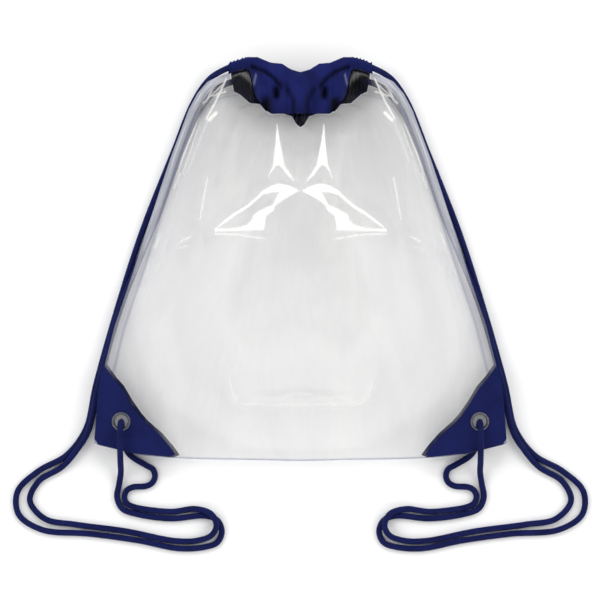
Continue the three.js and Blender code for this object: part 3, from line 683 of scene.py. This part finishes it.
def addChannel(name, surface, ears, depth, side, shortBy, material, node):
    values = channelValues
    across = np.linspace(-1 + shortBy, 1 - shortBy, values["stations"] + 1)
    ones = np.ones_like(across)
    low = surface(across, ones)
    before, after = surface(np.maximum(across - 0.01, -1), ones), surface(np.minimum(across + 0.01, 1), ones)
    along = (after - before)[:, :2]
    along /= np.linalg.norm(along, axis=1)[:, None]
    low[:, 0] -= along[:, 1] * values["pastRim"]
    low[:, 1] += along[:, 0] * values["pastRim"]
    table = np.array(ears, dtype=float).T
    rise, lift = np.interp(np.abs(across), table[0], table[1]), np.interp(np.abs(across), table[0], table[2])
    high = np.stack([across * bag["halfNeck"], neckY + bag["earRise"] * rise,
                     bag["seamHeight"] + values["mouthLift"] * lift], axis=-1)
    middle, reach = (low + high) / 2, (high - low) / 2
    length = np.linalg.norm(reach, axis=1)
    spread = reach / length[:, None]
    normal = np.array([0, 0, 1.0]) - spread * spread[:, 2:3]
    normal /= np.linalg.norm(normal, axis=1)[:, None]
    walked = across * bag["halfNeck"]
    frontSeed, backSeed, underSeed = values["foldSeeds"]
    top = foldsAlong(walked, values["gatherWidths"], frontSeed if side > 0 else backSeed)
    under = foldsAlong(walked, tuple(w * 0.75 for w in values["gatherWidths"]), underSeed)
    angles = 2 * np.pi * np.arange(values["round"]) / values["round"]
    cosine, sine = np.cos(angles), np.sin(angles)
    flattened = np.sign(sine) * np.abs(sine) ** values["squareness"]
    lined = []
    for inset in (0, values["clothThickness"]):
        outwards = (length[:, None] - inset) * cosine
        lifted = (depth / 2 - inset) * flattened
        foldTop = values["topFold"] * top[:, None] * clampShare(side * sine)[None, :]
        foldUnder = values["underFold"] * under[:, None] * clampShare(-side * sine)[None, :]
        lifted = lifted + side * foldTop + side * foldUnder
        sideways = spread[:, None, :] * outwards[..., None]
        lined.append(middle[:, None, :] + sideways + normal[:, None, :] * lifted[..., None])
    shade = np.zeros(lined[0].shape[:2])
    if side > 0:
        left, y = -np.abs(lined[0][..., 0]), lined[0][..., 1]
        upper = clampShare(sine * 3)[None, :]
        for run, width, height, dark in values["tongueFolds"]:
            share = clampShare(awayFrom(left, y, run) / width)
            change = height * (1 - share**2)**2 * upper
            lined[0][..., 2] += change
            lined[1][..., 2] += change
            shade = np.maximum(shade, dark * (1 - smoothStep(share)))
        # painted highlight of a film edge lying over the cloth
        pale = np.zeros(left.shape)
        for run, width, strength in values["filmEdgeHighlights"]:
            pale = np.maximum(pale, strength * (1 - smoothStep(awayFrom(left, y, run) / width)) * upper)
    else:
        shade += 0.8
        pale = np.zeros(shade.shape)
    # outer skin, then round the end and back along the inner skin
    order = np.concatenate([lined[0], lined[1][::-1]], axis=0)
    cloth = np.zeros((len(order) + 1, values["round"] + 1, 2))
    steps = np.concatenate([[0], np.cumsum(np.linalg.norm(np.diff(low, axis=0), axis=1))])
    cloth[..., 0] = np.concatenate([steps, steps[::-1], steps[:1]])[:, None] / 10
    cloth[..., 1] = np.arange(values["round"] + 1)[None, :] * 0.12
    piece = gridPiece(name, order, cloth, wrap=True, looped=True)
    paint(piece, "shade", np.concatenate([shade, shade[::-1]], axis=0))
    paint(piece, "pale", np.concatenate([pale, pale[::-1]], axis=0))
    dress(piece, material)
    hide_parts(node)
    return piece


# woven polyester: matt navy with the small checker of its threads and a dusty sheen on its folds
wovenValues = {
    "colour": "#19205a",
    "deep": "#0f1440",
    "dark": "#03040d",
    # pale grey of the highlight painted where a film edge lies over the cloth
    "line": "#80849a",
    "roughness": 0.78,
    "threads": 11.0,  # per 10 mm; the real cloth has about 35, drawn coarser so that they show
}


def makeWoven(name, values, coordinates):
    material, tree = newMaterial(name)
    if coordinates == "cloth":
        place = addNode(tree, "ShaderNodeUVMap", {"uv_map": "cloth"}).outputs["UV"]
        scale = values["threads"]
    else:
        place = addNode(tree, "ShaderNodeTexCoord").outputs["Object"]
        scale = values["threads"] * 100
    parts = addNode(tree, "ShaderNodeSeparateXYZ", {}, {"Vector": place})
    threads = []
    for axis in ("X", "Y"):
        turns = addNode(tree, "ShaderNodeMath", {"operation": "MULTIPLY", 1: 3.1416 * scale},
                        {0: parts.outputs[axis]})
        threads.append(addNode(tree, "ShaderNodeMath", {"operation": "SINE"}, {0: turns.outputs[0]}))
    weave = addNode(tree, "ShaderNodeMath", {"operation": "MULTIPLY"},
                    {0: threads[0].outputs[0], 1: threads[1].outputs[0]})
    where = addNode(tree, "ShaderNodeTexCoord")
    # uneven dye about 18 mm across, and a fuzz of fibres of about 1 mm
    patches = addNode(tree, "ShaderNodeTexNoise", {"Scale": 55.0, "Detail": 5.0},
                      {"Vector": where.outputs["Object"]})
    fibres = addNode(tree, "ShaderNodeTexNoise", {"Scale": 900.0, "Detail": 2.0},
                     {"Vector": where.outputs["Object"]})
    mixed = addNode(tree, "ShaderNodeMath", {"operation": "MULTIPLY_ADD", 1: 0.16},
                    {0: weave.outputs[0], 2: patches.outputs["Fac"]})
    ramp = addNode(tree, "ShaderNodeValToRGB", {}, {"Fac": mixed.outputs[0]})
    ramp.color_ramp.elements[0].position = 0.25
    ramp.color_ramp.elements[0].color = hexToLinear(values["deep"])
    ramp.color_ramp.elements[1].position = 0.65
    ramp.color_ramp.elements[1].color = hexToLinear(values["colour"])
    shade = addNode(tree, "ShaderNodeAttribute", {"attribute_name": "shade"})
    colour = addNode(tree, "ShaderNodeMix", {"data_type": "RGBA", 7: hexToLinear(values["dark"])},
                     {"Factor": shade.outputs["Fac"], 6: ramp.outputs["Color"]})
    # pale lines painted where a film edge's highlight falls on the cloth
    pale = addNode(tree, "ShaderNodeAttribute", {"attribute_name": "pale"})
    lined = addNode(tree, "ShaderNodeMix", {"data_type": "RGBA", 7: hexToLinear(values["line"])},
                    {"Factor": pale.outputs["Fac"], 6: colour.outputs[2]})
    heights = addNode(tree, "ShaderNodeMath", {"operation": "MULTIPLY_ADD", 1: 0.5},
                      {0: fibres.outputs["Fac"], 2: weave.outputs[0]})
    bump = addNode(tree, "ShaderNodeBump", {"Strength": 0.3, "Distance": 0.0003},
                   {"Height": heights.outputs[0]})
    shader = addNode(tree, "ShaderNodeBsdfPrincipled",
                     {"Roughness": values["roughness"], "IOR": 1.5, "Specular IOR Level": 0.08,
                      "Sheen Weight": 0.02, "Sheen Roughness": 0.45},
                     {"Base Color": lined.outputs[2], "Normal": bump.outputs["Normal"]})
    addNode(tree, "ShaderNodeOutputMaterial", {}, {"Surface": shader.outputs["BSDF"]})
    return material


wovenPolyester = makeWoven("wovenPolyester", wovenValues, "cloth")
addChannel("casing_front", frontFilm, channelValues["frontEars"], channelValues["frontDepth"], 1, 0,
           wovenPolyester, "front_channel")
addChannel("casing_back", backFilm, channelValues["backEars"], channelValues["backDepth"], -1, 0.02,
           wovenPolyester, "back_channel")
print("casings made")

# corner patches: coated polyester, two on each corner with the films between them
patchValues = {
    "thickness": 1.1,
    "rings": 30,
    "frontLevel": 17.8,
    "backLevel": 13.1,
    "backShare": 1.05,
    "flat": (0.0685, 0.0765),  # metres
    "area": 0.00225,  # square metres
    # outline from the bottom corner, as shares of the patch's leg, inwards and upwards
    "outline": [(0.004, 0.05), (0.023, 0.31), (0.052, 0.67), (0.117, 0.98), (0.26, 0.78), (0.35, 0.68),
                (0.45, 0.51), (0.56, 0.35), (0.64, 0.26), (0.81, 0.11), (0.94, -0.04), (1.015, -0.145),
                (0.94, -0.175), (0.5, -0.13), (0.275, -0.075), (0.05, -0.02)],
}


def patchEdge(leg, mirror):
    corners = [np.array([mirror * (bag["halfBottom"] - leg * a), bag["cornerY"] + leg * b])
               for a, b in patchValues["outline"]]
    edge = []
    for start, end in zip(corners, corners[1:] + corners[:1]):
        count = max(2, round(np.linalg.norm(end - start) / 0.9))
        edge += [start + (end - start) * k / count for k in range(count)]
    return np.array(edge)


def addPatch(side, mirror, front, material):
    values = patchValues
    grown = 1 if front else values["backShare"]
    leg = bag["patchLeg"] * grown
    edge = patchEdge(leg, mirror)
    middle = np.array([mirror * bag["eyelet"][0], bag["eyelet"][1]])
    away = edge - middle
    size = np.linalg.norm(away, axis=1)
    heading = away / size[:, None]
    hole = bag["eyeletHole"] / 2 + 1.0
    shares = np.sin(np.linspace(0, np.pi / 2, values["rings"]))
    thick = values["thickness"]
    level = values["frontLevel"] if front else values["backLevel"]
    rims = [(0.0, 0.12), (0.12, 0.02), (0.3, 0.0)]  # rounded edge: inwards and down, mm
    layers = []
    for top in (True, False):
        run = []
        for share in shares:
            out = hole + (size - 0.3 - hole) * share
            wave = 0.10 * np.sin(edge[:, 0] / 7 + 1) * np.sin(edge[:, 1] / 9) * share
            run.append((out, wave + (thick if top else 0.0)))
        layers.append(run)
    profile = layers[0]
    for inwards, drop in rims[::-1]:
        profile.append((size - inwards, thick - drop - (0.25 if inwards == 0.0 else 0)))
    profile += [(size - 0.05, 0.2)]
    profile += layers[1][::-1]
    points = []
    for out, height in profile:
        flat = middle + heading * np.asarray(out)[:, None]
        points.append(np.column_stack([flat, level + np.broadcast_to(height, len(flat))]))
    points = np.array(points)
    name = f"corner_cloth_{'front' if front else 'back'}_{side}"
    cloth = np.zeros((len(points) + 1, points.shape[1] + 1, 2))
    piece = gridPiece(name, points, cloth, wrap=True, looped=True)
    dress(piece, material)
    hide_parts(f"corner_patch_{'front' if front else 'back'}_{side}")


# coated woven polyester: a finer and flatter weave, a little smoother than the casing
coatedValues = {
    "colour": "#171e52",
    "deep": "#111744",
    "dark": "#03040d",
    "line": "#80849a",
    "roughness": 0.65,
    "threads": 9.0,  # per 10 mm; the real cloth has about 20, drawn coarser so that they show
}
coatedPolyester = makeWoven("coatedPolyester", coatedValues, "object")

# eyelets: pressed steel, gunmetal nickel plated
eyeletValues = {
    "sides": 80,
    # section of one half, radius and height from the seam's middle, mm; mirrored for the other half
    "section": [(6.15, 0.0), (6.15, 3.3), (7.0, 3.3), (7.62, 3.36), (7.7, 3.6), (7.55, 3.95), (7.1, 4.22),
                (6.5, 4.25), (5.95, 4.12), (5.6, 3.8), (5.5, 3.4), (5.5, 0.0)],
}


def addEyelet(side, mirror, material):
    half = eyeletValues["section"]
    section = half + [(radius, -height) for radius, height in half[::-1][1:-1]]
    angles = 2 * np.pi * np.arange(eyeletValues["sides"]) / eyeletValues["sides"]
    points = np.array([
        np.column_stack([mirror * bag["eyelet"][0] + radius * np.cos(angles),
                         bag["eyelet"][1] + radius * np.sin(angles),
                         np.full(len(angles), bag["seamHeight"] + height)])
        for radius, height in section
    ])
    cloth = np.zeros((len(points) + 1, points.shape[1] + 1, 2))
    piece = gridPiece(f"pressed_eyelet_{side}", points, cloth, wrap=True, looped=True)
    dress(piece, material)
    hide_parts(f"eyelet_{side}")


# gunmetal nickel plate on pressed steel: dark, satin, with fine rubbed scratches
nickelValues = {"colour": "#6d7076", "worn": "#8d8f92", "roughness": 0.36}


def makeNickel(values):
    material, tree = newMaterial("gunmetalNickelPlate")
    place = addNode(tree, "ShaderNodeTexCoord")
    rubbed = addNode(tree, "ShaderNodeTexNoise", {"Scale": 420.0, "Detail": 4.0},
                     {"Vector": place.outputs["Object"]})
    ramp = addNode(tree, "ShaderNodeValToRGB", {}, {"Fac": rubbed.outputs["Fac"]})
    ramp.color_ramp.elements[0].position = 0.35
    ramp.color_ramp.elements[0].color = hexToLinear(values["colour"])
    ramp.color_ramp.elements[1].position = 0.75
    ramp.color_ramp.elements[1].color = hexToLinear(values["worn"])
    smoothest, roughest = values["roughness"] - 0.08, values["roughness"] + 0.14
    rough = addNode(tree, "ShaderNodeMapRange", {"To Min": smoothest, "To Max": roughest},
                    {"Value": rubbed.outputs["Fac"]})
    bump = addNode(tree, "ShaderNodeBump", {"Strength": 0.15, "Distance": 0.0001},
                   {"Height": rubbed.outputs["Fac"]})
    shader = addNode(tree, "ShaderNodeBsdfPrincipled", {"Metallic": 1.0},
                     {"Base Color": ramp.outputs["Color"], "Roughness": rough.outputs["Result"],
                      "Normal": bump.outputs["Normal"]})
    addNode(tree, "ShaderNodeOutputMaterial", {}, {"Surface": shader.outputs["BSDF"]})
    return material


nickelPlate = makeNickel(nickelValues)
for side, mirror in (("left", -1), ("right", 1)):
    addPatch(side, mirror, True, coatedPolyester)
    addPatch(side, mirror, False, coatedPolyester)
    addEyelet(side, mirror, nickelPlate)
print("corners made")

# pale floor and soft studio light
studioValues = {
    "floor": "#fdfdfd",
    "sky": "#ffffff",
    "overhead": 0.1,  # dark over the camera, so that flat film hardly mirrors anything
    "around": 1.22,
    "darkWithin": 0.93,  # cosine of 22 degrees off the vertical
    "brightBeyond": 0.74,  # cosine of 42 degrees off the vertical
    # softboxes: place, size across and along, power in watts
    "boxes": [
        ((-1.5, 0.5, 1.7), (0.25, 1.5), 9),
        ((1.5, 0.5, 1.7), (0.25, 1.5), 9),
        ((0.0, 1.7, 1.9), (1.2, 0.25), 9),
    ],
}


def addStudio(values):
    mesh = bpy.data.meshes.new("floor")
    mesh.from_pydata([(-4, -4, 0), (4, -4, 0), (4, 4, 0), (-4, 4, 0)], [], [(0, 1, 2, 3)])
    floor = bpy.data.objects.new("floor", mesh)
    bpy.context.scene.collection.objects.link(floor)
    material, tree = newMaterial("paintedFloor")
    shader = addNode(tree, "ShaderNodeBsdfDiffuse", {"Color": hexToLinear(values["floor"])})
    addNode(tree, "ShaderNodeOutputMaterial", {}, {"Surface": shader.outputs[0]})
    mesh.materials.append(material)
    world = bpy.data.worlds.new("studio")
    world.use_nodes = True
    tree = world.node_tree
    tree.nodes.clear()
    direction = addNode(tree, "ShaderNodeTexCoord")
    parts = addNode(tree, "ShaderNodeSeparateXYZ", {}, {"Vector": direction.outputs["Generated"]})
    strength = addNode(tree, "ShaderNodeMapRange",
                       {"interpolation_type": "SMOOTHSTEP", "From Min": values["darkWithin"],
                        "From Max": values["brightBeyond"],
                        "To Min": values["overhead"], "To Max": values["around"]},
                       {"Value": parts.outputs["Z"]})
    backdrop = addNode(tree, "ShaderNodeBackground", {"Color": hexToLinear(values["sky"])},
                       {"Strength": strength.outputs["Result"]})
    addNode(tree, "ShaderNodeOutputWorld", {}, {"Surface": backdrop.outputs[0]})
    bpy.context.scene.world = world
    for index, (place, size, power) in enumerate(values["boxes"]):
        lamp = bpy.data.lights.new(f"softbox{index}", "AREA")
        lamp.shape = "RECTANGLE"
        lamp.size, lamp.size_y = size
        lamp.energy = power
        holder = bpy.data.objects.new(f"softbox{index}", lamp)
        holder.location = place
        holder.visible_glossy = False  # lights the cloth without a hard spot on the film
        aim = -holder.location
        holder.rotation_euler = aim.to_track_quat("-Z", "Y").to_euler()
        bpy.context.scene.collection.objects.link(holder)
    bpy.context.scene.view_settings.view_transform = "Standard"


addStudio(studioValues)
print("studio set")

bpy.context.view_layer.update()
